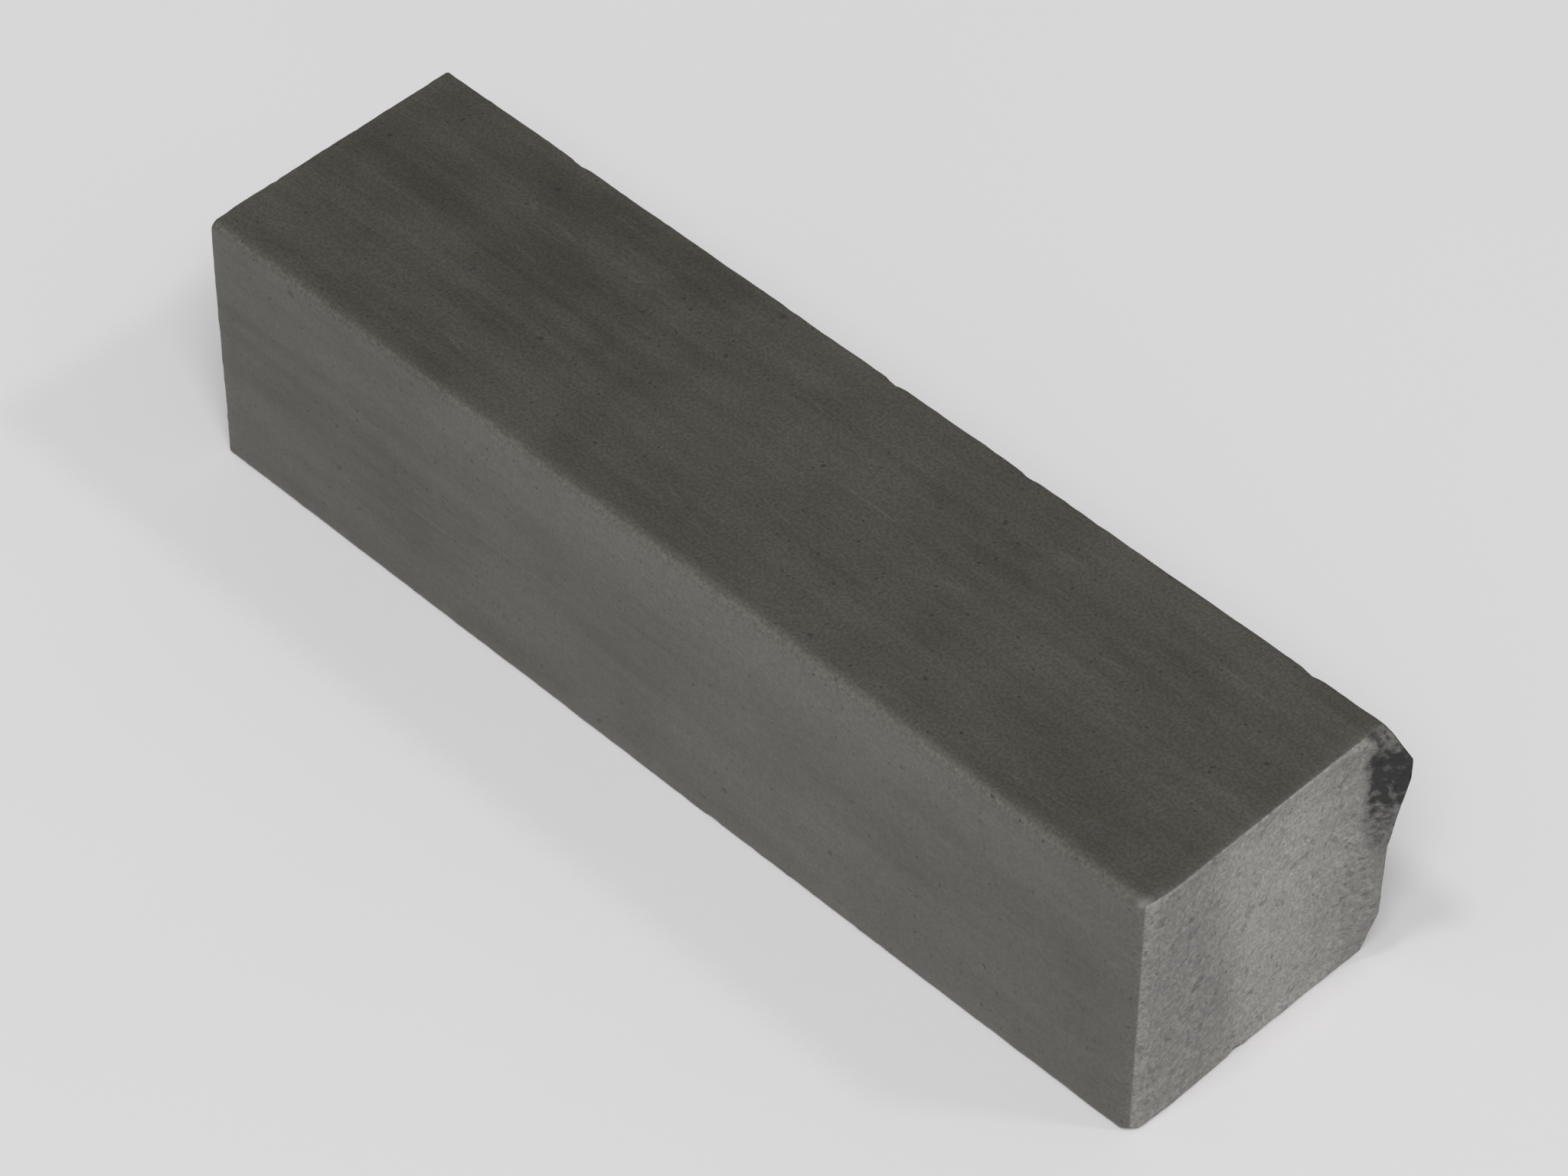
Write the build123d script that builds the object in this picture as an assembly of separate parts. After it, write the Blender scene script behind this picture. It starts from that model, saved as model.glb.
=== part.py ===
from build123d import *
import math
import os

# A square stick of compressed charcoal lying on one long side, as left after it
# was snapped in two. It is a single pressed piece with nothing inside it.
#
# Millimetres. +X runs along the stick towards the snapped end, +Z is up.
# The origin is on the resting face, under the middle of the overall length
# and in the middle of the width.

# Pressed bar: 3/4 inch square stock
bar_width = 19.05
bar_height = 19.05
bar_length = 74.5          # pressed end to the flat of the snapped face
pressed_edge_radius = 0.45
worn_corner_radius = 1.2   # upright near corner of the snapped end, rubbed round on paper

# Where the crack reached the far side it turned outwards and left a lip.
# Reaches are measured out from the snapped face, drops down from the top face,
# and the foot up from the resting face.
curl_width = 4.0           # part of the snapped face that the lip's curve takes up
tip_reach = 2.05
tip_drop = 1.3
tip_depth = 1.5            # upright edge at the tip
waist_reach = 1.05
waist_drop = 9.4
foot_height = 4.25

overall_length = bar_length + tip_reach
pressed_end_x = -overall_length / 2
snapped_face_x = pressed_end_x + bar_length
near_side_y = -bar_width / 2
far_side_y = bar_width / 2


def unbroken_stick():
    """The pressed stick before it was snapped: longer, and rounded along every edge."""
    unbroken_length = overall_length + bar_width
    middle_x = pressed_end_x + unbroken_length / 2
    stick = Pos(middle_x, 0, bar_height / 2) * Box(unbroken_length, bar_width, bar_height)
    return fillet(stick.edges(), pressed_edge_radius)


def kept_block():
    """Everything on this side of the flat crack, rounded at the worn corner."""
    low_corner = Pos(pressed_end_x, near_side_y, 0)
    block = low_corner * Box(bar_length, bar_width, bar_height, align=(Align.MIN,) * 3)
    uprights_at_crack = block.edges().filter_by(Axis.Z).group_by(Axis.X)[-1]
    worn_corner = uprights_at_crack.group_by(Axis.Y)[0]
    return fillet(worn_corner, worn_corner_radius)


def lip_from_above():
    """The lip's plan: a hollow arc that leaves the snapped face smoothly."""
    arc_radius = (curl_width**2 + tip_reach**2) / (2 * tip_reach)
    half_turn = math.asin(curl_width / arc_radius) / 2
    start = (snapped_face_x, far_side_y - curl_width)
    half_way = (
        snapped_face_x + arc_radius * (1 - math.cos(half_turn)),
        far_side_y - curl_width + arc_radius * math.sin(half_turn),
    )
    tip = (snapped_face_x + tip_reach, far_side_y)
    root_x = snapped_face_x - curl_width
    with BuildSketch() as plan:
        with BuildLine():
            ThreePointArc(start, half_way, tip)
            Polyline(tip, (root_x, far_side_y), (root_x, far_side_y - curl_width), start)
        make_face()
    return extrude(plan.sketch, amount=bar_height)


def lip_from_the_side():
    """The lip's outline on the far side: tip near the top, waist, foot clear of the table."""
    root_x = snapped_face_x - curl_width
    outline = [
        (root_x, 0),
        (snapped_face_x, 0),
        (snapped_face_x + waist_reach, foot_height),
        (snapped_face_x + waist_reach, bar_height - waist_drop),
        (snapped_face_x + tip_reach, bar_height - tip_drop - tip_depth),
        (snapped_face_x + tip_reach, bar_height - tip_drop),
        (snapped_face_x, bar_height),
        (root_x, bar_height),
    ]
    with BuildSketch(Plane.XZ) as profile:
        with BuildLine():
            Polyline(*outline, close=True)
        make_face()
    return extrude(profile.sketch, amount=bar_width, both=True)


def charcoal_stick():
    """What the crack left of the unbroken stick."""
    lip = lip_from_above() & lip_from_the_side()
    return unbroken_stick() & (kept_block() + lip)


os.makedirs("parts", exist_ok=True)
export_step(charcoal_stick(), "parts/charcoal_stick.step")
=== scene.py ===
"""A snapped stick of compressed charcoal, lying on a pale studio floor."""

import math
import random

import bmesh
import bpy
from mathutils import Matrix, Vector, noise


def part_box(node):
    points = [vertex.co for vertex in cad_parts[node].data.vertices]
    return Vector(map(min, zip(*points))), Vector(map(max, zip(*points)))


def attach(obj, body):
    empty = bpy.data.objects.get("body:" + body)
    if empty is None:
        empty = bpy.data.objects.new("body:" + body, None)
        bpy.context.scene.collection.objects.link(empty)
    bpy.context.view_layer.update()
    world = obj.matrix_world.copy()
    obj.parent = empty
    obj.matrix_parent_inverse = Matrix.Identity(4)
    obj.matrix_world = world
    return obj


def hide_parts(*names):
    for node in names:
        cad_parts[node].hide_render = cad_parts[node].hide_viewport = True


bl_info = {
    "name": "Compressed charcoal stick",
    "version": (1, 0, 0),
    "blender": (4, 5, 0),
    "location": "3D View > Sidebar > Charcoal",
    "description": "Makes a snapped stick of compressed charcoal and a pale studio around it",
    "category": "Object",
}

# The frame: metres, +X along the stick to its snapped end, +Y to the side with the
# break lip, +Z up from the face that it lies on.
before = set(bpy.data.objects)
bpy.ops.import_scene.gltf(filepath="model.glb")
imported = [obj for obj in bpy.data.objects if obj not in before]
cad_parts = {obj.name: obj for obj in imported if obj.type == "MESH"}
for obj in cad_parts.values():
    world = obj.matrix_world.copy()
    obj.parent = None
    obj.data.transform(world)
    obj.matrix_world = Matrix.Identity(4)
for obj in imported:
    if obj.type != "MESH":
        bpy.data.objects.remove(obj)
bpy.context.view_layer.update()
STICK_LOW, STICK_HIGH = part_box("charcoal_stick")
MM = 0.001
LENGTHWISE = 0  # the axis that runs along the stick


# --------------------------------------------------------------------------- settings


class StickShape(bpy.types.PropertyGroup):
    """Sizes of the stick that its overall box doesn't give."""

    edge_radius: bpy.props.FloatProperty(
        name="Edge radius", description="Rounding of the pressed edges",
        default=0.27 * MM, min=0.1 * MM, unit="LENGTH",
    )
    rubbed_edge_radius: bpy.props.FloatProperty(
        name="Rubbed edge radius",
        description="Rounding of the long upper edge that fingers have rubbed",
        default=0.75 * MM, min=0.1 * MM, unit="LENGTH",
    )
    worn_corner_radius: bpy.props.FloatProperty(
        name="Worn corner radius",
        description="Rounding of the upright near corner of the snapped end",
        default=1.2 * MM, min=0.1 * MM, unit="LENGTH",
    )
    snapped_edge: bpy.props.FloatProperty(
        name="Snapped edge",
        description="How far the crisp edge of the snapped face has crumbled back",
        default=0.16 * MM, min=0.05 * MM, unit="LENGTH",
    )
    lip_width: bpy.props.FloatProperty(
        name="Lip width",
        description="Part of the snapped face that the curl of the break lip takes up",
        default=4.0 * MM, unit="LENGTH",
    )
    lip_edge: bpy.props.FloatProperty(
        name="Lip edge", description="Rounding of the lip's crisp edge",
        default=0.07 * MM, min=0.02 * MM, unit="LENGTH",
    )
    crumbled_corner: bpy.props.FloatProperty(
        name="Crumbled corner",
        description="How much further the snapped face's top edge has crumbled by the lip",
        default=0.30 * MM, unit="LENGTH",
    )
    raw_width: bpy.props.FloatProperty(
        name="Raw width", description="Width of the fresh black break on the lip",
        default=1.7 * MM, unit="LENGTH",
    )
    tip_reach: bpy.props.FloatProperty(
        name="Tip reach", description="How far the lip's tip stands out from the snapped face",
        default=2.05 * MM, unit="LENGTH",
    )
    tip_drop: bpy.props.FloatProperty(
        name="Tip drop", description="Depth of the lip's tip below the top face",
        default=1.3 * MM, unit="LENGTH",
    )
    tip_depth: bpy.props.FloatProperty(
        name="Tip depth", description="Height of the upright edge at the lip's tip",
        default=1.5 * MM, unit="LENGTH",
    )
    waist_reach: bpy.props.FloatProperty(
        name="Waist reach", description="How far the lip stands out below its tip",
        default=1.05 * MM, unit="LENGTH",
    )
    waist_drop: bpy.props.FloatProperty(
        name="Waist drop",
        description="Depth below the top face at which the lip has narrowed to its waist",
        default=9.4 * MM, unit="LENGTH",
    )
    foot_height: bpy.props.FloatProperty(
        name="Foot height",
        description="Height above the table at which the lip starts to run back",
        default=4.25 * MM, unit="LENGTH",
    )
    chips_per_edge: bpy.props.IntProperty(
        name="Chips per edge", description="Small chips along each long edge",
        default=6, min=0,
    )
    chip_radius: bpy.props.FloatProperty(
        name="Chip radius", description="Radius of the hollow that the largest chips leave",
        default=1.5 * MM, unit="LENGTH",
    )
    chip_depth: bpy.props.FloatProperty(
        name="Chip depth", description="How far the deepest chips cut into an edge",
        default=0.17 * MM, unit="LENGTH",
    )
    grain_size: bpy.props.FloatProperty(
        name="Grain size", description="Size of the crumbs that the snapped face broke between",
        default=0.60 * MM, unit="LENGTH",
    )


class StickFinish(bpy.types.PropertyGroup):
    """Colours of the charcoal, where it was pressed, rubbed and snapped; the rubbed and snapped colours
    also carry painted light.
    """

    pressed: bpy.props.FloatVectorProperty(
        name="Pressed", description="Pressed faces as they came from the mould",
        subtype="COLOR", size=4, default=(0.0396, 0.0379, 0.0289, 1.0), min=0.0, max=1.0,
    )
    # Lighter pressed colour for worn edges, scratches and patches, and also for the painted light on
    # the near side and towards the snapped end.
    rubbed_and_lit: bpy.props.FloatVectorProperty(
        name="Rubbed", description="Where handling has burnished the pressed faces",
        subtype="COLOR", size=4, default=(0.1300, 0.1250, 0.1078, 1.0), min=0.0, max=1.0,
    )
    # Partly dust and partly painted light: the snapped end is painted this light as light from the
    # right shows it.
    snapped: bpy.props.FloatVectorProperty(
        name="Snapped", description="Dusty flat of the snapped face",
        subtype="COLOR", size=4, default=(0.3820, 0.3715, 0.3485, 1.0), min=0.0, max=1.0,
    )
    raw: bpy.props.FloatVectorProperty(
        name="Raw", description="Fresh black charcoal on the break lip and in chips",
        subtype="COLOR", size=4, default=(0.0170, 0.0165, 0.0160, 1.0), min=0.0, max=1.0,
    )


class Studio(bpy.types.PropertyGroup):
    """Camera, floor and lights."""

    azimuth: bpy.props.FloatProperty(
        name="Azimuth", description="Where the camera stands round the stick; 0 looks along +Y",
        default=math.radians(44.8), unit="ROTATION",
    )
    elevation: bpy.props.FloatProperty(
        name="Elevation", description="Height of the camera above the horizon",
        default=math.radians(46.42), unit="ROTATION",
    )
    roll: bpy.props.FloatProperty(
        name="Roll", description="Turn of the camera about its own line of sight",
        default=math.radians(0.38), unit="ROTATION",
    )
    aim: bpy.props.FloatVectorProperty(
        name="Aim", description="What the camera looks at, measured from the middle of the stick",
        default=(-0.09 * MM, -0.07 * MM, 0.0), size=3, subtype="TRANSLATION", unit="LENGTH",
    )
    distance: bpy.props.FloatProperty(
        name="Distance", description="From the camera to what it looks at",
        default=342.4 * MM, unit="LENGTH",
    )
    lens: bpy.props.FloatProperty(
        name="Lens", description="Focal length for a 36 mm wide sensor", default=137.6, unit="CAMERA",
    )
    floor: bpy.props.FloatVectorProperty(
        name="Floor", description="Colour of the floor", subtype="COLOR", size=4,
        default=(0.80, 0.79, 0.795, 1.0), min=0.0, max=1.0,
    )
    front_power: bpy.props.FloatProperty(
        name="Front power", description="Power of the large soft light above the camera",
        default=52.5, min=0.0,
    )
    over_power: bpy.props.FloatProperty(
        name="Over power", description="Power of the lamp high over the stick",
        default=1.8, min=0.0,
    )
    back_power: bpy.props.FloatProperty(
        name="Back power", description="Power of the lamp behind the snapped end",
        default=1.08, min=0.0,
    )
    sky: bpy.props.FloatProperty(
        name="Sky", description="Brightness of the even light from all round",
        default=0.255, min=0.0,
    )


# ------------------------------------------------------------------------------ shape


def smooth_step(low, high, value):
    """0 below low, 1 above high, with a smooth rise between."""
    t = min(max((value - low) / (high - low), 0.0), 1.0)
    return t * t * (3.0 - 2.0 * t)


def roughness(point, size, octaves=3):
    """Fractal noise, about -1 to 1, whose largest features are of that size."""
    return noise.fractal(point / size, 1.0, 2.0, octaves)


def cut_into_grid(bm, low, high, bands):
    """Cuts a block into a grid. bands holds, for each axis, the width of the fine band
    at its low and high ends and the size of a cell in the low, middle and high band."""
    for axis, (low_band, high_band, *cell_sizes) in enumerate(bands):
        normal = Vector((0, 0, 0))
        normal[axis] = 1.0
        limits = [low[axis], low[axis] + low_band, high[axis] - high_band, high[axis]]
        for limit in limits[1:3]:
            everything = bm.verts[:] + bm.edges[:] + bm.faces[:]
            bmesh.ops.bisect_plane(bm, geom=everything, plane_co=normal * limit, plane_no=normal)
        for start, end, cell in zip(limits, limits[1:], cell_sizes):
            cuts = round((end - start) / cell) - 1
            middle = (start + end) / 2
            inside = (end - start) / 4
            across = []
            for edge in bm.edges:
                a, b = (vert.co[axis] for vert in edge.verts)
                if abs(a - b) > inside and abs((a + b) / 2 - middle) < inside:
                    across.append(edge)
            bmesh.ops.subdivide_edges(bm, edges=across, cuts=cuts, use_grid_fill=True)


def face_gaps(point, low, high):
    """Distance from a point to the nearer of the two faces across each axis."""
    return [min(point[i] - low[i], high[i] - point[i]) for i in range(3)]


def edge_gap(point, low, high):
    """Distance from a point on the block's surface to its nearest edge."""
    return sorted(face_gaps(point, low, high))[1]


WEAR_SHIFT = Vector((3.1, 0.7, 1.9))  # keeps the wear's noise apart from the relief's
WEAR_LENGTH = 14 * MM                 # how far an edge's wear stays much the same
WEAR_RANGE = 0.35                     # share of a radius by which it varies
CRUMBLE_LENGTH = 2.5 * MM             # the same for the snapped face's edge
CRUMBLE_RANGE = 0.5
CRUMBLE_START = 4 * MM                # from the near side to where the top edge crumbles more
EDGE_ZONE = 3 * MM                    # from an edge to where nothing of it is felt
LIP_TOP_ZONE = 0.4 * MM               # over which the lip's edge turns crisp below the top face


def edge_radii(point, low, high, shape):
    """How far the rounding reaches along X, Y and Z at the edge nearest to a point."""
    wear = 1.0 + WEAR_RANGE * roughness(point + WEAR_SHIFT, WEAR_LENGTH)
    near_side = 1.0 - smooth_step(low.y, low.y + EDGE_ZONE, point.y)
    far_side = smooth_step(high.y - EDGE_ZONE, high.y, point.y)
    upper = smooth_step(high.z - EDGE_ZONE, high.z, point.z)
    at_break = smooth_step(high.x - EDGE_ZONE, high.x, point.x)
    towards_lip = smooth_step(low.y + CRUMBLE_START, high.y - EDGE_ZONE, point.y)

    plain = shape.edge_radius * wear
    rubbed_and_lit = plain + near_side * upper * (shape.rubbed_edge_radius - shape.edge_radius) * wear
    crumbled = shape.snapped_edge * (1.0 + CRUMBLE_RANGE * roughness(point, CRUMBLE_LENGTH))
    crumbled += shape.crumbled_corner * upper * towards_lip
    radii = Vector((
        plain + at_break * (crumbled - plain),
        rubbed_and_lit + near_side * at_break * (shape.worn_corner_radius - rubbed_and_lit),
        rubbed_and_lit,
    ))
    radii.x += near_side * at_break * (shape.worn_corner_radius - radii.x)
    crisp = Vector((shape.lip_edge,) * 3)
    on_lip = far_side * at_break * (1.0 - smooth_step(high.z - LIP_TOP_ZONE, high.z, point.z))
    return radii.lerp(crisp, on_lip)


def round_edges(bm, low, high, shape):
    """Draws the block's edges and corners in to worn, slightly uneven roundings."""
    for vert in bm.verts:
        radii = edge_radii(vert.co, low, high, shape)
        core = Vector(
            min(max(vert.co[i], low[i] + radii[i]), high[i] - radii[i]) for i in range(3)
        )
        out = Vector((vert.co[i] - core[i]) / radii[i] for i in range(3))
        if out.length > 0.0:
            out.normalize()
            vert.co = core + Vector(out[i] * radii[i] for i in range(3))


CHIP_SEED = 19
SHORT_EDGE_FEWER = 4             # a short edge has about this many times fewer chips
CHIP_ENDS = (0.03, 0.97)         # shares of an edge's length between which chips lie
CHIP_SLANT = (-0.25, 0.25)       # how far the way out of a chip leans along its edge
CHIP_LEAN = (0.6, 1.3)           # how much of it goes out of each of the two faces
CHIP_SIZES = (0.45, 1.0)         # smallest and largest, before small ones are made commoner
SMALL_COMMONER = 1.5             # power of the size that does so
CHIP_RAW = 0.3                   # how much fresh charcoal a chip shows
CHIP_SLACK = 0.1 * MM            # how much further than a chip reaches its points are sought
ROUNDED_OFF = 0.4                # share of an edge's radius that its rounding takes off
WHOLE_BY_LIP = (1 * MM, 6 * MM)  # no chips this near the snapped end and the far side


def chip_places(low, high, shape):
    """Where the small chips are: a point on an edge, the way out of the edge, and a size, 0 to 1."""
    luck = random.Random(CHIP_SEED)
    for along in range(3):
        across, up = (i for i in range(3) if i != along)
        for side_a in (-1, 1):
            for side_b in (-1, 1):
                count = shape.chips_per_edge
                if along != LENGTHWISE:
                    count //= SHORT_EDGE_FEWER
                for _ in range(count):
                    centre = Vector((0, 0, 0))
                    length = high[along] - low[along]
                    centre[along] = low[along] + luck.uniform(*CHIP_ENDS) * length
                    centre[across] = (low, high)[side_a > 0][across]
                    centre[up] = (low, high)[side_b > 0][up]
                    out = Vector((0, 0, 0))
                    out[along] = luck.uniform(*CHIP_SLANT)
                    out[across] = side_a * luck.uniform(*CHIP_LEAN)
                    out[up] = side_b * luck.uniform(*CHIP_LEAN)
                    size = luck.uniform(*CHIP_SIZES) ** SMALL_COMMONER
                    yield centre, out.normalized(), size


def bite_chips(bm, rest, low, high, shape, layers):
    """Scoops small hollow chips out of the edges; the lip's own edge stays whole."""
    reach = shape.chip_radius + CHIP_SLACK
    near_edges = [v for v in bm.verts if edge_gap(rest[v.index], low, high) < reach]
    rounded_off = ROUNDED_OFF * shape.edge_radius
    for centre, out, size in chip_places(low, high, shape):
        if centre.x > high.x - WHOLE_BY_LIP[0] and centre.y > high.y - WHOLE_BY_LIP[1]:
            continue
        radius = shape.chip_radius * size
        ball = centre + out * (radius - rounded_off - shape.chip_depth * size)
        for vert in near_edges:
            offset = vert.co - ball
            if offset.length < radius:
                vert.co = ball + offset.normalized() * radius
                vert[layers["raw"]] = max(vert[layers["raw"]], CHIP_RAW)


def lip_outline(height, high, shape):
    """How far the lip may stand out at a height, seen from the far side."""
    drop = high.z - height
    tip_end = shape.tip_drop + shape.tip_depth
    foot_drop = high.z - shape.foot_height
    stations = [
        (0.0, 0.0),
        (shape.tip_drop, shape.tip_reach),
        (tip_end, shape.tip_reach),
        (shape.waist_drop, shape.waist_reach),
        (foot_drop, shape.waist_reach),
        (high.z, 0.0),
    ]
    for (drop_a, reach_a), (drop_b, reach_b) in zip(stations, stations[1:]):
        if drop <= drop_b:
            share = (drop - drop_a) / (drop_b - drop_a)
            return reach_a + share * (reach_b - reach_a)
    return 0.0


def lip_reach(point, high, shape):
    """How far the snapped face curls out at a point: a hollow arc, cut off at the outline."""
    into_lip = point.y - (high.y - shape.lip_width)
    if into_lip <= 0.0:
        return 0.0
    arc_radius = (shape.lip_width**2 + shape.tip_reach**2) / (2 * shape.tip_reach)
    curl = arc_radius - math.sqrt(arc_radius**2 - min(into_lip, shape.lip_width) ** 2)
    return min(curl, lip_outline(point.z, high, shape))


def draw_out_lip(bm, rest, high, shape):
    """Pulls the snapped end out into its break lip; the faces behind it stretch to follow."""
    root = shape.lip_width
    for vert in bm.verts:
        point = rest[vert.index]
        follow = min(max((point.x - (high.x - root)) / root, 0.0), 1.0)
        if follow > 0.0:
            vert.co.x += follow * lip_reach(point, high, shape)


# Where the fresh break on the lip grows less: the depths below the top face between which
# it does, and the share that it loses.
RAW_NARROWS = (7.0 * MM, 13.0 * MM, 0.60)
RAW_FADES_BELOW_TIP = (3.4 * MM, 6.4 * MM, 0.50)
RAW_FADES_BY_WAIST = (6.4 * MM, 14.0 * MM, 0.50)
RAW_AT_TOP = 0.60                # share that is fresh right under the top face
RAW_TOP_ZONE = (0.4 * MM, 1.8 * MM)
RAW_WANDER = 0.30 * MM           # how far its inner edge wanders
RAW_WANDER_LENGTH = 1.8 * MM
RAW_EDGE_IN, RAW_EDGE_OUT = 0.5 * MM, 0.4 * MM  # how soft that edge is, to either side


def loss(drop, start, end, share):
    """The share that is lost at a depth, none at the start and all of it at the end."""
    return share * smooth_step(start, end, drop)


def raw_share(point, high, shape):
    """1 on the fresh black break of the lip, 0 on the dusty flat of the snapped face."""
    drop = high.z - point.z
    width = shape.raw_width * (1.0 - loss(drop, *RAW_NARROWS))
    edge = high.y - width + RAW_WANDER * roughness(point, RAW_WANDER_LENGTH)
    fresh = 1.0 - loss(drop, *RAW_FADES_BELOW_TIP) - loss(drop, *RAW_FADES_BY_WAIST)
    fresh *= RAW_AT_TOP + (1.0 - RAW_AT_TOP) * smooth_step(*RAW_TOP_ZONE, drop)
    return fresh * smooth_step(edge - RAW_EDGE_IN, edge + RAW_EDGE_OUT, point.y)


def crumb(point, size):
    """Facets like those of broken crumbs, 0 to 1."""
    distances, _ = noise.voronoi(point / size)
    return min(distances[1] - distances[0], 1.0)


CRACK_AT_TOP = 4.4 * MM       # from the near side to the crack line
CRACK_SLANT = 3.5 * MM        # how much further in it is at the bottom
CRACK_WANDER = 0.5 * MM       # to either side of a straight line
CRACK_WANDER_LENGTH = 6 * MM


def crack_line(point, low, high):
    """Where the faint step in the snapped face runs, from near the top edge aslant to the bottom."""
    down = (high.z - point.z) / (high.z - low.z)
    straight = low.y + CRACK_AT_TOP + CRACK_SLANT * down
    return straight + CRACK_WANDER * roughness(point, CRACK_WANDER_LENGTH)


DUST_AND_LIGHT = 0.64                              # dust and painted light on the snapped face, by the near side
PAINTED_LIGHT_PAST_CRACK = 0.24                   # painted light: lighter past the crack line, standing in for a facet turned more to the lamps
PAINTED_LIGHT_LESS_UNDER_TOP = 0.07                    # less of that painted light just under the top face
PAINTED_SHADE_BY_LIP = 0.24                       # painted shade: darker towards the lip's curl
PAST_CRACK_ZONE = (-0.4 * MM, 3.2 * MM)  # measured across the crack line
UNDER_TOP_ZONE = (4 * MM, 1 * MM)        # measured down from the top face
BY_LIP_ZONE = (6 * MM, 1 * MM)           # measured in from the far side


def snapped_tone(point, low, high):
    """How light the snapped face is, 0 to 1: dust and painted light, with painted light past the crack
    line and painted shade towards the lip.
    """
    line = crack_line(point, low, high)
    past_crack = smooth_step(line + PAST_CRACK_ZONE[0], line + PAST_CRACK_ZONE[1], point.y)
    by_lip = smooth_step(high.y - BY_LIP_ZONE[0], high.y - BY_LIP_ZONE[1], point.y)
    under_top = smooth_step(high.z - UNDER_TOP_ZONE[0], high.z - UNDER_TOP_ZONE[1], point.z)
    # Painted light on the facet past the crack line.
    painted_facet_light = (PAINTED_LIGHT_PAST_CRACK - PAINTED_LIGHT_LESS_UNDER_TOP * under_top) * past_crack
    # Painted shade on the curl towards the lip.
    return DUST_AND_LIGHT + painted_facet_light - PAINTED_SHADE_BY_LIP * by_lip


TONE = 0.16               # of the pressed faces, at the pressed end
PAINTED_REFLECTION_ALONG = 0.11         # painted reflection: lighter towards the snapped end
PAINTED_LIGHT_NEAR_SIDE = 0.42     # painted light: the near side face is lighter, as the lamps and the lit floor show it
NEAR_SIDE_ZONE = 0.5 * MM
# Lighter and darker patches on the pressed faces, the longest one just under the near side's upper
# edge.
TONE_PATCHES = (
    # share of the way along X, Y and Z; reach along X, Y and Z in millimetres; how much lighter
    ((0.62, 0.0, 0.95), (32, 0.8, 2.8), 0.20),
    ((0.60, 0.0, 0.88), (15, 0.8, 3.0), 0.15),
    ((0.30, 0.0, 0.87), (9, 0.8, 2.6), 0.11),
    ((0.74, 0.0, 0.85), (16, 0.8, 3.0), 0.10),
    ((0.70, 0.0, 0.22), (17, 0.8, 4.5), 0.12),
    ((0.36, 0.0, 0.16), (7, 0.8, 3.0), 0.08),
    ((0.20, 0.0, 0.45), (11, 0.8, 4.0), -0.11),
    ((0.94, 0.0, 0.40), (4, 0.8, 7.0), -0.11),
    ((0.78, 0.2, 1.0), (3.5, 6, 4), 0.08),
    ((0.55, 0.75, 1.0), (9, 6, 4), 0.07),
    ((0.24, 0.5, 1.0), (6, 9, 4), -0.07),
    ((0.90, 0.2, 1.0), (4, 5, 4), -0.05),
)


def pressed_tone(point, low, high):
    """How light a pressed face is, 0 to 1: patches, painted reflection towards the snapped end and
    painted light on the near side.
    """
    size = high - low
    near_side = 1.0 - smooth_step(low.y, low.y + NEAR_SIDE_ZONE, point.y)
    # Painted reflection along the stick and painted light on the near side face.
    tone_and_light = TONE + PAINTED_REFLECTION_ALONG * (point.x - low.x) / size.x + PAINTED_LIGHT_NEAR_SIDE * near_side
    for place, reach, strength in TONE_PATCHES:
        offset = [(point[i] - low[i] - place[i] * size[i]) / (reach[i] * MM) for i in range(3)]
        tone_and_light += strength * math.exp(-sum(part * part for part in offset))
    return tone_and_light


# Relief: its mean depth, the size of its largest features, and the octaves of its noise.
SWELL = (0.018 * MM, 16 * MM, 2)        # pressed faces, slowly up and down
STREAKS = (0.008 * MM, 1.4 * MM, 3)     # pressed faces, drawn out along the stick
CRUMBLING = (0.030 * MM, 0.9 * MM, 3)   # worn edges
WAVES = (0.08 * MM, 3.6 * MM, 3)        # snapped face
FRESH = (0.12 * MM, 1.1 * MM, 4)        # fresh break on the lip
STREAK_STRETCH = 5                      # how many times longer than wide the streaks are
GRAIN_DEPTH = 0.055 * MM                # of the snapped face, all over
GRAIN_OCTAVES = 3
GRAIN_SHIFT = Vector((1.0, 4.0, 2.0))   # keeps the grain's noise apart from the waves'
CRUMB_DEPTH = 0.035 * MM
CRUMB_SIZE = 1.5 * MM
STEP_DEPTH = 0.10 * MM                  # of the faint step along the crack line
STEP_REACH = 0.7 * MM                   # to either side of the line
HELD_BACK = 0.60                        # share of the snapped face's relief that its edges lack
HELD_BACK_ZONE = 1.2 * MM
LIP_HELD_BACK = 0.85                    # the same for all relief at the lip's crisp edge
LIP_HELD_BACK_ZONE = 0.6 * MM


def relief(point, depth, size, octaves):
    """Depth of one kind of relief at a point, from 0 to about twice its mean."""
    return depth * (1.0 + roughness(point, size, octaves))


def pressed_depth(point, worn):
    """How far the surface of a pressed face lies under its flat."""
    drawn_out = Vector((point.x / STREAK_STRETCH, point.y, point.z))
    return relief(point, *SWELL) + relief(drawn_out, *STREAKS) + worn * relief(point, *CRUMBLING)


def broken_depth(point, low, high, shape, raw):
    """How far the snapped face lies behind its flat; less at its edges, which would fold over."""
    line = crack_line(point, low, high)
    past_step = smooth_step(line - STEP_REACH, line + STEP_REACH, point.y)
    depth = STEP_DEPTH * past_step * (1.0 - raw)
    depth += relief(point, *WAVES)
    depth += relief(point + GRAIN_SHIFT, GRAIN_DEPTH, shape.grain_size, GRAIN_OCTAVES)
    depth += CRUMB_DEPTH * crumb(point, CRUMB_SIZE)
    depth += raw * relief(point, *FRESH)
    at_edge = 1.0 - smooth_step(0.0, HELD_BACK_ZONE, edge_gap(point, low, high))
    return depth * (1.0 - HELD_BACK * at_edge)


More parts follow.
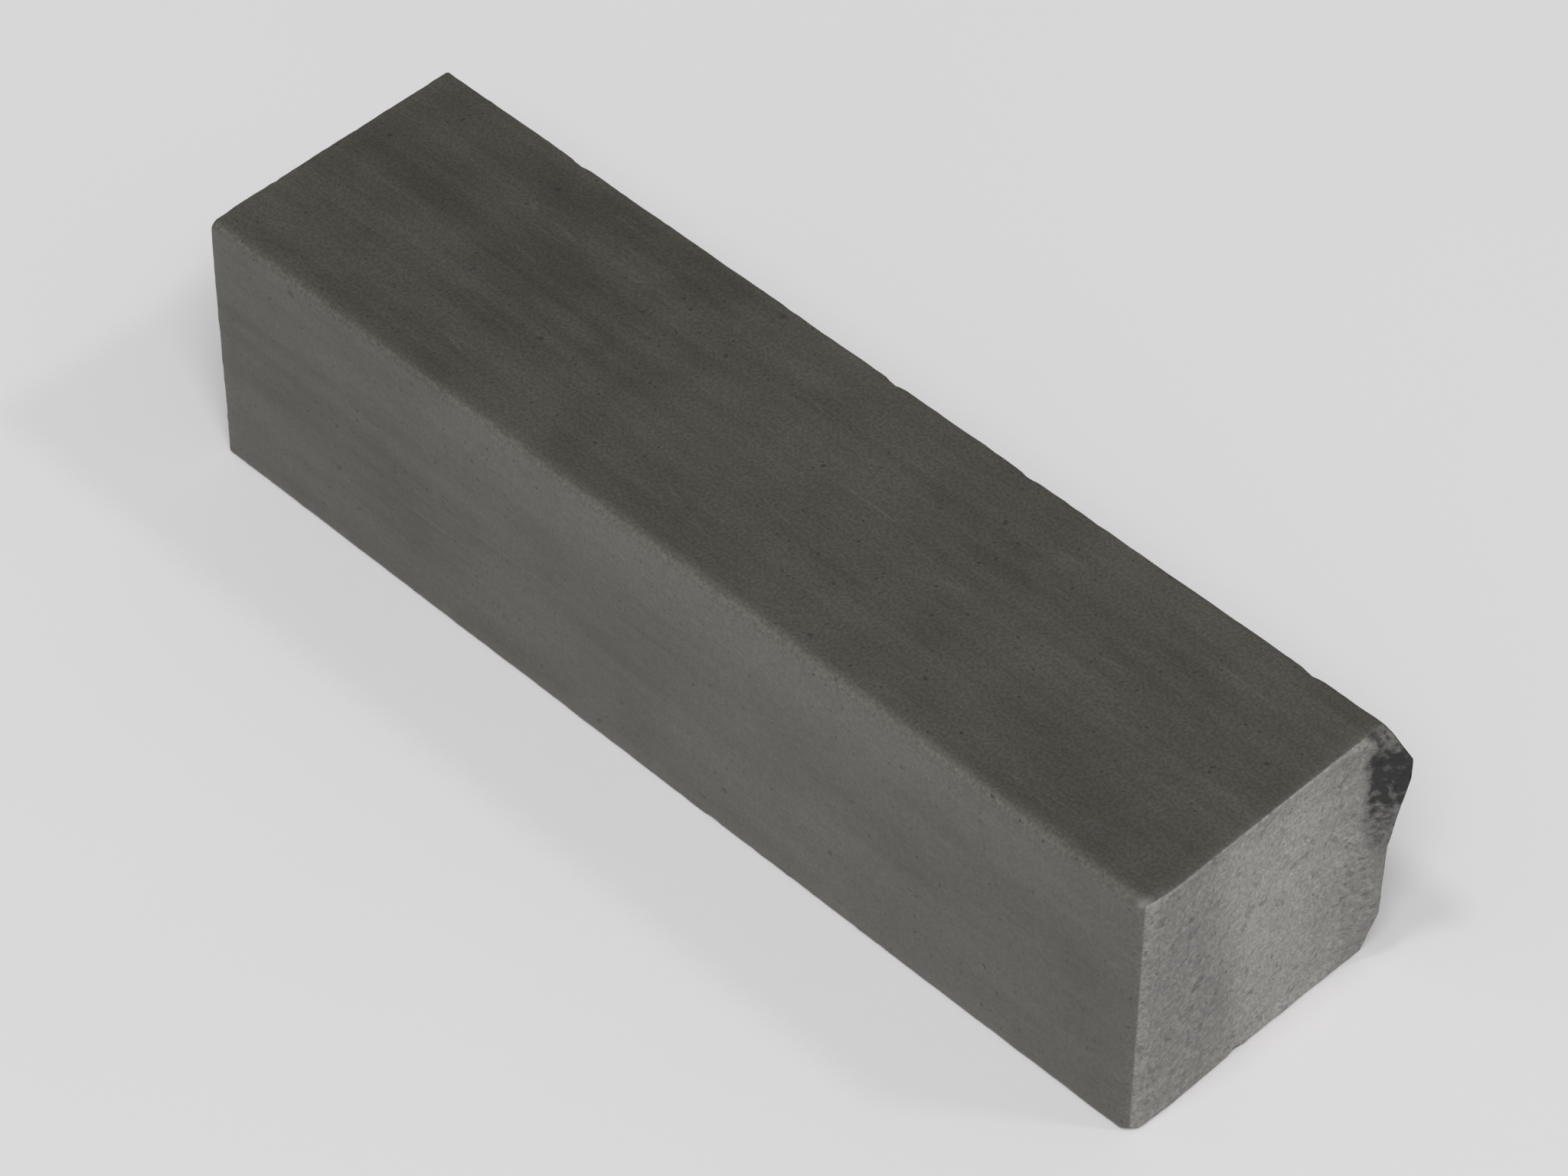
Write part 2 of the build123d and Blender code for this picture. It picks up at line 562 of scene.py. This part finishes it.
def roughen(bm, rest, low, high, shape, layers):
    """Relief of the pressed faces, and the coarser grain of the snapped face and lip."""
    bm.normal_update()
    moves = {}
    for vert in bm.verts:
        point = rest[vert.index]
        snapped, raw = vert[layers["snapped"]], vert[layers["raw"]]
        pressed = pressed_depth(point, vert[layers["worn"]])
        depth = pressed
        if snapped > 0.0:
            broken = broken_depth(point, low, high, shape, raw)
            depth = pressed + snapped * (broken - pressed)
        at_edge = 1.0 - smooth_step(0.0, LIP_HELD_BACK_ZONE, edge_gap(point, low, high))
        moves[vert] = vert.normal * depth * (1.0 - LIP_HELD_BACK * raw * at_edge)
    for vert, move in moves.items():
        vert.co -= move


def stay_inside(bm, low, high):
    """Nothing stands proud of the stick's own box."""
    for vert in bm.verts:
        for i in range(3):
            vert.co[i] = min(max(vert.co[i], low[i]), high[i])


# For X, Y and Z: widths of the fine bands at the low and high ends, and the size of a cell in
# the low band, in the middle and in the high band.
GRID_BANDS = (
    (1.5 * MM, 4.0 * MM, 0.19 * MM, 0.41 * MM, 0.20 * MM),
    (1.5 * MM, 4.0 * MM, 0.19 * MM, 0.25 * MM, 0.16 * MM),
    (1.5 * MM, 3.5 * MM, 0.19 * MM, 0.25 * MM, 0.16 * MM),
)
# The last of these is each point's tone, painted light and shade included.
PAINTED = ("snapped", "raw", "worn", "tone_and_light")
WORN_ZONE = 1.3 * MM  # from an edge to where it is no longer worn


SNAPPED_ZONE = (0.12 * MM, 0.02 * MM)  # behind the snapped face, where its look begins


def snapped_share(point, high):
    """1 on the snapped face, 0 just behind it."""
    return smooth_step(high.x - SNAPPED_ZONE[0], high.x - SNAPPED_ZONE[1], point.x)


def paint(bm, rest, low, high, shape, layers):
    """Marks what is snapped, raw and worn, and how light each point is with painted light and shade,
    for relief and material.
    """
    for vert in bm.verts:
        point = rest[vert.index]
        vert[layers["worn"]] = 1.0 - smooth_step(0.0, WORN_ZONE, edge_gap(point, low, high))
        snapped = snapped_share(point, high)
        vert[layers["snapped"]] = snapped
        vert[layers["raw"]] = snapped * raw_share(point, high, shape)
        pressed = pressed_tone(point, low, high)
        vert[layers["tone_and_light"]] = pressed + snapped * (snapped_tone(point, low, high) - pressed)


def stick_mesh(shape):
    """The whole stick: a fine grid, rounded, nicked, drawn out into its lip and roughened."""
    low = STICK_LOW.copy()
    high = STICK_HIGH - Vector((shape.tip_reach, 0, 0))
    bm = bmesh.new()
    place = Matrix.Translation((low + high) / 2) @ Matrix.Diagonal((*(high - low), 1.0))
    bmesh.ops.create_cube(bm, size=1.0, matrix=place)
    cut_into_grid(bm, low, high, GRID_BANDS)
    layers = {name: bm.verts.layers.float.new(name) for name in PAINTED}
    bm.verts.index_update()
    rest = [vert.co.copy() for vert in bm.verts]
    paint(bm, rest, low, high, shape, layers)
    round_edges(bm, low, high, shape)
    bite_chips(bm, rest, low, high, shape, layers)
    draw_out_lip(bm, rest, high, shape)
    roughen(bm, rest, low, high, shape, layers)
    stay_inside(bm, STICK_LOW, STICK_HIGH)
    mesh = bpy.data.meshes.new("charcoal_stick_body")
    bm.to_mesh(mesh)
    bm.free()
    mesh.shade_smooth()
    return mesh


# ----------------------------------------------------------------------------- finish


# Sockets of a mix node for one kind of value: two inputs and the output.
MIX_NUMBERS = (2, 3, 0)
MIX_COLOURS = (6, 7, 2)
NOISE_RANGE = (0.3, 0.7)   # within which nearly all of the noise lies
NOISE_ROUGHNESS = 0.55
LONG_DRAWN = (0.05, 1, 1)  # stretch that draws a pattern out along the stick
# Sets of scratches: turn in degrees, size of their pattern in millimetres, and a shift.
SCRATCHES = ((4, 2.4, 0.10), (-7, 3.1, 0.23), (15, 4.0, 0.37))
SCRATCH_WIDTH = 0.006      # how far from its middle value the noise makes a line
SCRATCH_PATCH = 6 * MM     # size of the patches that are scratched


class Shader:
    """A few short ways to lay out one material's nodes."""

    def __init__(self, name):
        self.material = bpy.data.materials.new(name)
        self.material.use_nodes = True
        self.nodes = self.material.node_tree.nodes
        self.links = self.material.node_tree.links
        self.surface = self.nodes["Principled BSDF"]

    def node(self, kind, **settings):
        """A node of that kind; settings with a name of the node's are set, the rest are sockets."""
        made = self.nodes.new(kind)
        for name, value in settings.items():
            if hasattr(made, name):
                setattr(made, name, value)
            else:
                self.feed(made.inputs[name.replace("_", " ").title()], value)
        return made

    def feed(self, socket, value):
        """Links a socket to another node's output, or sets it."""
        if isinstance(value, bpy.types.NodeSocket):
            self.links.new(value, socket)
        else:
            socket.default_value = value

    def mapped(self, stretch=(1, 1, 1), offset=(0, 0, 0), turn=(0, 0, 0)):
        """Object coordinates, stretched, turned and shifted."""
        where = self.node("ShaderNodeTexCoord").outputs["Object"]
        mapping = self.node("ShaderNodeMapping")
        self.feed(mapping.inputs["Vector"], where)
        mapping.inputs["Scale"].default_value = stretch
        mapping.inputs["Location"].default_value = offset
        mapping.inputs["Rotation"].default_value = turn
        return mapping.outputs["Vector"]

    def noise_at(self, where, size, detail, distortion=0.0):
        """Noise at mapped coordinates, 0 to 1, whose largest features are of that size in metres."""
        made = self.node("ShaderNodeTexNoise")
        self.feed(made.inputs["Vector"], where)
        made.inputs["Scale"].default_value = 1.0 / size
        made.inputs["Detail"].default_value = detail
        made.inputs["Roughness"].default_value = NOISE_ROUGHNESS
        made.inputs["Distortion"].default_value = distortion
        return made.outputs["Fac"]

    def noise(self, size, detail=3.0, stretch=(1, 1, 1), offset=(0, 0, 0), distortion=0.0):
        """Noise on the object's own coordinates."""
        return self.noise_at(self.mapped(stretch, offset), size, detail, distortion)

    def spread(self, value, low, high, to_low=0.0, to_high=1.0):
        """Takes the part of a value between low and high to another range, smoothly."""
        made = self.node("ShaderNodeMapRange", interpolation_type="SMOOTHSTEP")
        self.feed(made.inputs["Value"], value)
        for socket, number in zip(made.inputs[1:5], (low, high, to_low, to_high)):
            self.feed(socket, number)
        return made.outputs["Result"]

    def swing(self, pattern, amount):
        """Takes noise to between -amount and amount."""
        return self.spread(pattern, *NOISE_RANGE, -amount, amount)

    def maths(self, operation, a, b):
        """One sum, product or other operation on two values."""
        made = self.node("ShaderNodeMath", operation=operation)
        self.feed(made.inputs[0], a)
        self.feed(made.inputs[1], b)
        return made.outputs[0]

    def mix(self, kind, sockets, share, a, b):
        """Goes from a to b."""
        made = self.node("ShaderNodeMix", data_type=kind)
        self.feed(made.inputs["Factor"], share)
        self.feed(made.inputs[sockets[0]], a)
        self.feed(made.inputs[sockets[1]], b)
        return made.outputs[sockets[2]]

    def mix_colours(self, share, a, b):
        """A colour that goes from a to b."""
        return self.mix("RGBA", MIX_COLOURS, share, a, b)

    def mix_numbers(self, share, a, b):
        """A number that goes from a to b."""
        return self.mix("FLOAT", MIX_NUMBERS, share, a, b)

    def sum(self, *values):
        """Adds values up."""
        total = values[0]
        for value in values[1:]:
            total = self.maths("ADD", total, value)
        return total

    def scratches(self):
        """1 on hairlines that run more or less along the stick, 0 elsewhere."""
        found = 0.0
        for turn, size, seed in SCRATCHES:
            where = self.mapped(LONG_DRAWN, (seed, seed, seed), (math.radians(turn),) * 3)
            lines = self.noise_at(where, size * MM, 1.0)
            off_line = self.maths("ABSOLUTE", self.maths("SUBTRACT", lines, 0.5), 0.0)
            hairline = self.spread(off_line, 0.0, SCRATCH_WIDTH, 1.0, 0.0)
            patches = self.noise(SCRATCH_PATCH, 2.0, offset=(seed, 0.0, seed))
            patchy = self.spread(patches, 0.52, 0.66)
            found = self.maths("MAXIMUM", found, self.maths("MULTIPLY", hairline, patchy))
        return found

    def pores(self, spacing, radius, rarity):
        """1 in ragged pinholes of mixed size in a loose lattice; radius is a share of its spacing."""
        wander = self.node("ShaderNodeTexNoise", detail=3.0)
        self.feed(wander.inputs["Vector"], self.mapped())
        wander.inputs["Scale"].default_value = 2.5 / spacing
        where = self.node("ShaderNodeVectorMath", operation="MULTIPLY_ADD")
        self.feed(where.inputs[0], wander.outputs["Color"])
        where.inputs[1].default_value = (0.5 * spacing,) * 3
        self.feed(where.inputs[2], self.mapped())
        made = self.node("ShaderNodeTexVoronoi")
        self.feed(made.inputs["Vector"], where.outputs["Vector"])
        made.inputs["Scale"].default_value = 1.0 / spacing
        chance = self.node("ShaderNodeSeparateColor")
        self.feed(chance.inputs["Color"], made.outputs["Color"])
        size = self.spread(chance.outputs["Red"], rarity, 1.0)
        reach = self.maths("MULTIPLY", size, radius)
        hole = self.maths("SUBTRACT", reach, made.outputs["Distance"])
        return self.spread(hole, 0.0, radius * 0.35)

    def attribute(self, name):
        """A value that was painted on the mesh's points."""
        return self.node("ShaderNodeAttribute", attribute_name=name).outputs["Fac"]

    def bump(self, height, depth, under=None):
        """Bump of that depth in metres, on top of another bump."""
        made = self.node("ShaderNodeBump")
        self.feed(made.inputs["Height"], height)
        made.inputs["Distance"].default_value = depth
        made.inputs["Strength"].default_value = 1.0
        if under is not None:
            self.feed(made.inputs["Normal"], under)
        return made.outputs["Normal"]


# Patterns of the charcoal's finish: the size of the largest features, and the detail.
CLOUDS = (9 * MM, 4.0)
SMEARS = (3.2 * MM, 3.0)
STREAK_LINES = (0.9 * MM, 3.0)
GRAINS = (0.20 * MM, 2.0)
CRUMBS = (0.45 * MM, 4.0)
PITS = (0.8 * MM, 4.0)
# Pinholes: their spacing, the radius of the largest as a share of it, and the share of
# places that have none.
LARGE_PORES = (1.7 * MM, 0.15, 0.55)
SMALL_PORES = (0.45 * MM, 0.26, 0.62)
# Heights of their relief, below zero for what is cut in.
STREAK_BUMP, GRAIN_BUMP, CRUMB_BUMP = 0.008 * MM, 0.016 * MM, 0.045 * MM
SCRATCH_BUMP, PIT_BUMP = -0.020 * MM, -0.040 * MM
ROUGH_PRESSED, ROUGH_RUBBED, ROUGH_SNAPPED, ROUGH_RAW = 0.60, 0.48, 0.78, 0.66
CHARCOAL_IOR = 1.55


def charcoal_material(finish):
    """Pressed charcoal: cloudy, faintly streaked and burnished outside, grainy where it broke; painted
    light and shade in its colour.
    """
    shader = Shader("compressed_charcoal")
    snapped, raw, worn, tone_and_light = (shader.attribute(name) for name in PAINTED)

    clouds = shader.noise(*CLOUDS, distortion=0.4)
    smears = shader.noise(*SMEARS, stretch=(0.3, 1, 1), offset=(0.05, 0.01, 0.02))
    streaks = shader.noise(*STREAK_LINES, stretch=LONG_DRAWN)
    grain = shader.noise(*GRAINS)
    crumbs = shader.noise(*CRUMBS, offset=(0.02, 0.0, 0.01))
    scratches = shader.scratches()
    pores = shader.maths("MAXIMUM", shader.pores(*LARGE_PORES), shader.pores(*SMALL_PORES))
    ragged = shader.maths("MULTIPLY", raw, shader.spread(crumbs, *NOISE_RANGE, 0.55, 1.45))
    fresh = shader.spread(ragged, 0.0, 0.92)
    pits = shader.spread(shader.noise(*PITS, offset=(0.01, 0.03, 0.0)), 0.58, 0.70)
    pits = shader.maths("MULTIPLY", pits, snapped)

    # Share of the lighter colour: worn edges and random tone, with the painted light and reflection
    # that the tone attribute carries.
    rubbed_and_lit = shader.sum(
        tone_and_light,
        shader.swing(clouds, 0.09),
        shader.swing(smears, 0.07),
        shader.swing(streaks, 0.06),
        shader.maths("MULTIPLY", worn, 0.12),
    )
    outside = shader.mix_colours(rubbed_and_lit, tuple(finish.pressed), tuple(finish.rubbed_and_lit))
    scratched = shader.maths("MULTIPLY", scratches, 0.22)
    outside = shader.mix_colours(scratched, outside, tuple(finish.rubbed_and_lit))
    # Dust and painted light on the snapped face, from the tone attribute and crumbs.
    dust_and_light = shader.sum(tone_and_light, shader.swing(crumbs, 0.10), shader.swing(clouds, 0.05))
    inside = shader.mix_colours(dust_and_light, tuple(finish.raw), tuple(finish.snapped))
    colour = shader.mix_colours(snapped, outside, inside)
    colour = shader.mix_colours(fresh, colour, tuple(finish.raw))
    specks_and_shade = shader.spread(grain, 0.32, 0.70, 0.82, 1.20)
    # Painted shade: pinholes and pits are darkened in colour, as shade in their hollows.
    specks_and_shade = shader.maths("MULTIPLY", specks_and_shade, shader.spread(pores, 0.0, 1.0, 1.0, 0.55))
    specks_and_shade = shader.maths("MULTIPLY", specks_and_shade, shader.spread(pits, 0.0, 1.0, 1.01, 0.74))
    speckle = shader.node("ShaderNodeVectorMath", operation="SCALE")
    shader.feed(speckle.inputs[0], colour)
    shader.feed(speckle.inputs["Scale"], specks_and_shade)
    shader.feed(shader.surface.inputs["Base Color"], speckle.outputs[0])

    rough = shader.sum(
        shader.spread(rubbed_and_lit, 0.07, 0.6, ROUGH_PRESSED, ROUGH_RUBBED),
        shader.spread(grain, *NOISE_RANGE, -0.04, 0.06),
    )
    rough = shader.mix_numbers(snapped, rough, ROUGH_SNAPPED)
    rough = shader.mix_numbers(fresh, rough, ROUGH_RAW)
    shader.feed(shader.surface.inputs["Roughness"], rough)
    shader.surface.inputs["IOR"].default_value = CHARCOAL_IOR

    normal = shader.bump(streaks, STREAK_BUMP)
    normal = shader.bump(grain, GRAIN_BUMP, normal)
    normal = shader.bump(shader.maths("ADD", scratches, pores), SCRATCH_BUMP, normal)
    normal = shader.bump(shader.maths("MULTIPLY", crumbs, snapped), CRUMB_BUMP, normal)
    normal = shader.bump(pits, PIT_BUMP, normal)
    shader.feed(shader.surface.inputs["Normal"], normal)
    return shader.material


FLOOR_TOOTH = (30 * MM, 3.0)
FLOOR_DARKER = 0.985  # how light the tooth's dips are against the rest


def floor_material(studio):
    """A plain pale sheet with the faintest tooth."""
    shader = Shader("pale_floor")
    tooth = shader.noise(*FLOOR_TOOTH)
    tint = tuple(studio.floor)
    darker = tuple(FLOOR_DARKER * part for part in tint[:3]) + (1.0,)
    shader.feed(shader.surface.inputs["Base Color"], shader.mix_colours(tooth, darker, tint))
    shader.surface.inputs["Roughness"].default_value = 0.9
    shader.surface.inputs["Specular IOR Level"].default_value = 0.2
    return shader.material


# -------------------------------------------------------------------------- operators


def new_object(context, name, data):
    """An object of the scene, at the origin."""
    made = bpy.data.objects.new(name, data)
    context.scene.collection.objects.link(made)
    return made


class CHARCOAL_OT_stick(bpy.types.Operator):
    """Make the charcoal stick"""

    bl_idname = "charcoal.stick"
    bl_label = "Charcoal stick"

    def execute(self, context):
        piece = new_object(context, "charcoal_stick_body", stick_mesh(context.scene.charcoal_shape))
        piece.data.materials.append(charcoal_material(context.scene.charcoal_finish))
        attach(piece, "root")
        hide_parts("charcoal_stick")
        return {"FINISHED"}


def soft_light(context, name, way, distance, size, power, target):
    """A round soft light that shines on the target; way leads from the target to it."""
    data = bpy.data.lights.new(name, "AREA")
    data.shape = "DISK"
    data.size = size
    data.energy = power
    light = new_object(context, name, data)
    way = Vector(way).normalized()
    light.location = target + way * distance
    light.rotation_euler = way.to_track_quat("Z", "Y").to_euler()


# Lights: how far they stand from the stick, how wide they are, and the way to them.
FRONT_DISTANCE, FRONT_WIDTH = 3.0, 1.6
FRONT_HEIGHT = math.radians(56.0)  # above the horizon, on the camera's side
LAMP_DISTANCE = 1.2
OVER_WIDTH, OVER_WAY = 0.16, (0.01, -0.35, 1.0)
BACK_WIDTH, BACK_WAY = 0.13, (0.62, 0.42, 1.0)
FLOOR_REACH = 3.0  # from the middle of the floor to its edges
SENSOR_WIDTH = 36.0


def light_stage(context, studio, middle):
    """A large soft light over the camera, and two lamps that cast the faint shadows."""
    across = math.cos(FRONT_HEIGHT)
    front_way = (
        math.sin(studio.azimuth) * across,
        -math.cos(studio.azimuth) * across,
        math.sin(FRONT_HEIGHT),
    )
    soft_light(context, "front", front_way, FRONT_DISTANCE, FRONT_WIDTH, studio.front_power, middle)
    soft_light(context, "over", OVER_WAY, LAMP_DISTANCE, OVER_WIDTH, studio.over_power, middle)
    soft_light(context, "back", BACK_WAY, LAMP_DISTANCE, BACK_WIDTH, studio.back_power, middle)


class CHARCOAL_OT_stage(bpy.types.Operator):
    """Make the floor, the lights and the camera"""

    bl_idname = "charcoal.stage"
    bl_label = "Studio"

    def execute(self, context):
        studio = context.scene.charcoal_studio
        middle = (STICK_LOW + STICK_HIGH) / 2

        bm = bmesh.new()
        bmesh.ops.create_grid(bm, x_segments=1, y_segments=1, size=FLOOR_REACH)
        floor_mesh = bpy.data.meshes.new("floor")
        bm.to_mesh(floor_mesh)
        bm.free()
        floor = new_object(context, "floor", floor_mesh)
        floor_mesh.materials.append(floor_material(studio))

        world = bpy.data.worlds.new("studio")
        world.use_nodes = True
        background = world.node_tree.nodes["Background"]
        background.inputs["Color"].default_value = (1.0, 1.0, 1.0, 1.0)
        background.inputs["Strength"].default_value = studio.sky
        context.scene.world = world
        light_stage(context, studio, middle)

        camera = bpy.data.cameras.new("camera")
        camera.sensor_width = SENSOR_WIDTH
        camera.lens = studio.lens
        camera.clip_start = 0.01
        viewer = new_object(context, "camera", camera)
        turn = Matrix.Rotation(studio.azimuth, 4, "Z")
        tip = Matrix.Rotation(math.pi / 2 - studio.elevation, 4, "X")
        away = Matrix.Translation((0.0, 0.0, studio.distance))
        roll = Matrix.Rotation(studio.roll, 4, "Z")
        viewer.matrix_world = Matrix.Translation(middle + Vector(studio.aim)) @ turn @ tip @ away @ roll
        context.scene.camera = viewer
        context.scene.view_settings.view_transform = "Standard"
        return {"FINISHED"}


class CHARCOAL_PT_panel(bpy.types.Panel):
    """Lists what can be made"""

    bl_label = "Charcoal"
    bl_space_type = "VIEW_3D"
    bl_region_type = "UI"
    bl_category = "Charcoal"

    def draw(self, context):
        for operator in OPERATORS:
            self.layout.operator(operator.bl_idname)
        for group in ("charcoal_shape", "charcoal_finish", "charcoal_studio"):
            settings = getattr(context.scene, group)
            for name in settings.__annotations__:
                self.layout.prop(settings, name)


SETTINGS = {"charcoal_shape": StickShape, "charcoal_finish": StickFinish, "charcoal_studio": Studio}
OPERATORS = (CHARCOAL_OT_stick, CHARCOAL_OT_stage)


def register():
    for name, group in SETTINGS.items():
        bpy.utils.register_class(group)
        setattr(bpy.types.Scene, name, bpy.props.PointerProperty(type=group))
    for shown in (*OPERATORS, CHARCOAL_PT_panel):
        bpy.utils.register_class(shown)


def unregister():
    for shown in (CHARCOAL_PT_panel, *reversed(OPERATORS)):
        bpy.utils.unregister_class(shown)
    for name, group in SETTINGS.items():
        delattr(bpy.types.Scene, name)
        bpy.utils.unregister_class(group)


def main():
    register()
    bpy.ops.charcoal.stage()
    bpy.ops.charcoal.stick()


if __name__ == "__main__":
    main()
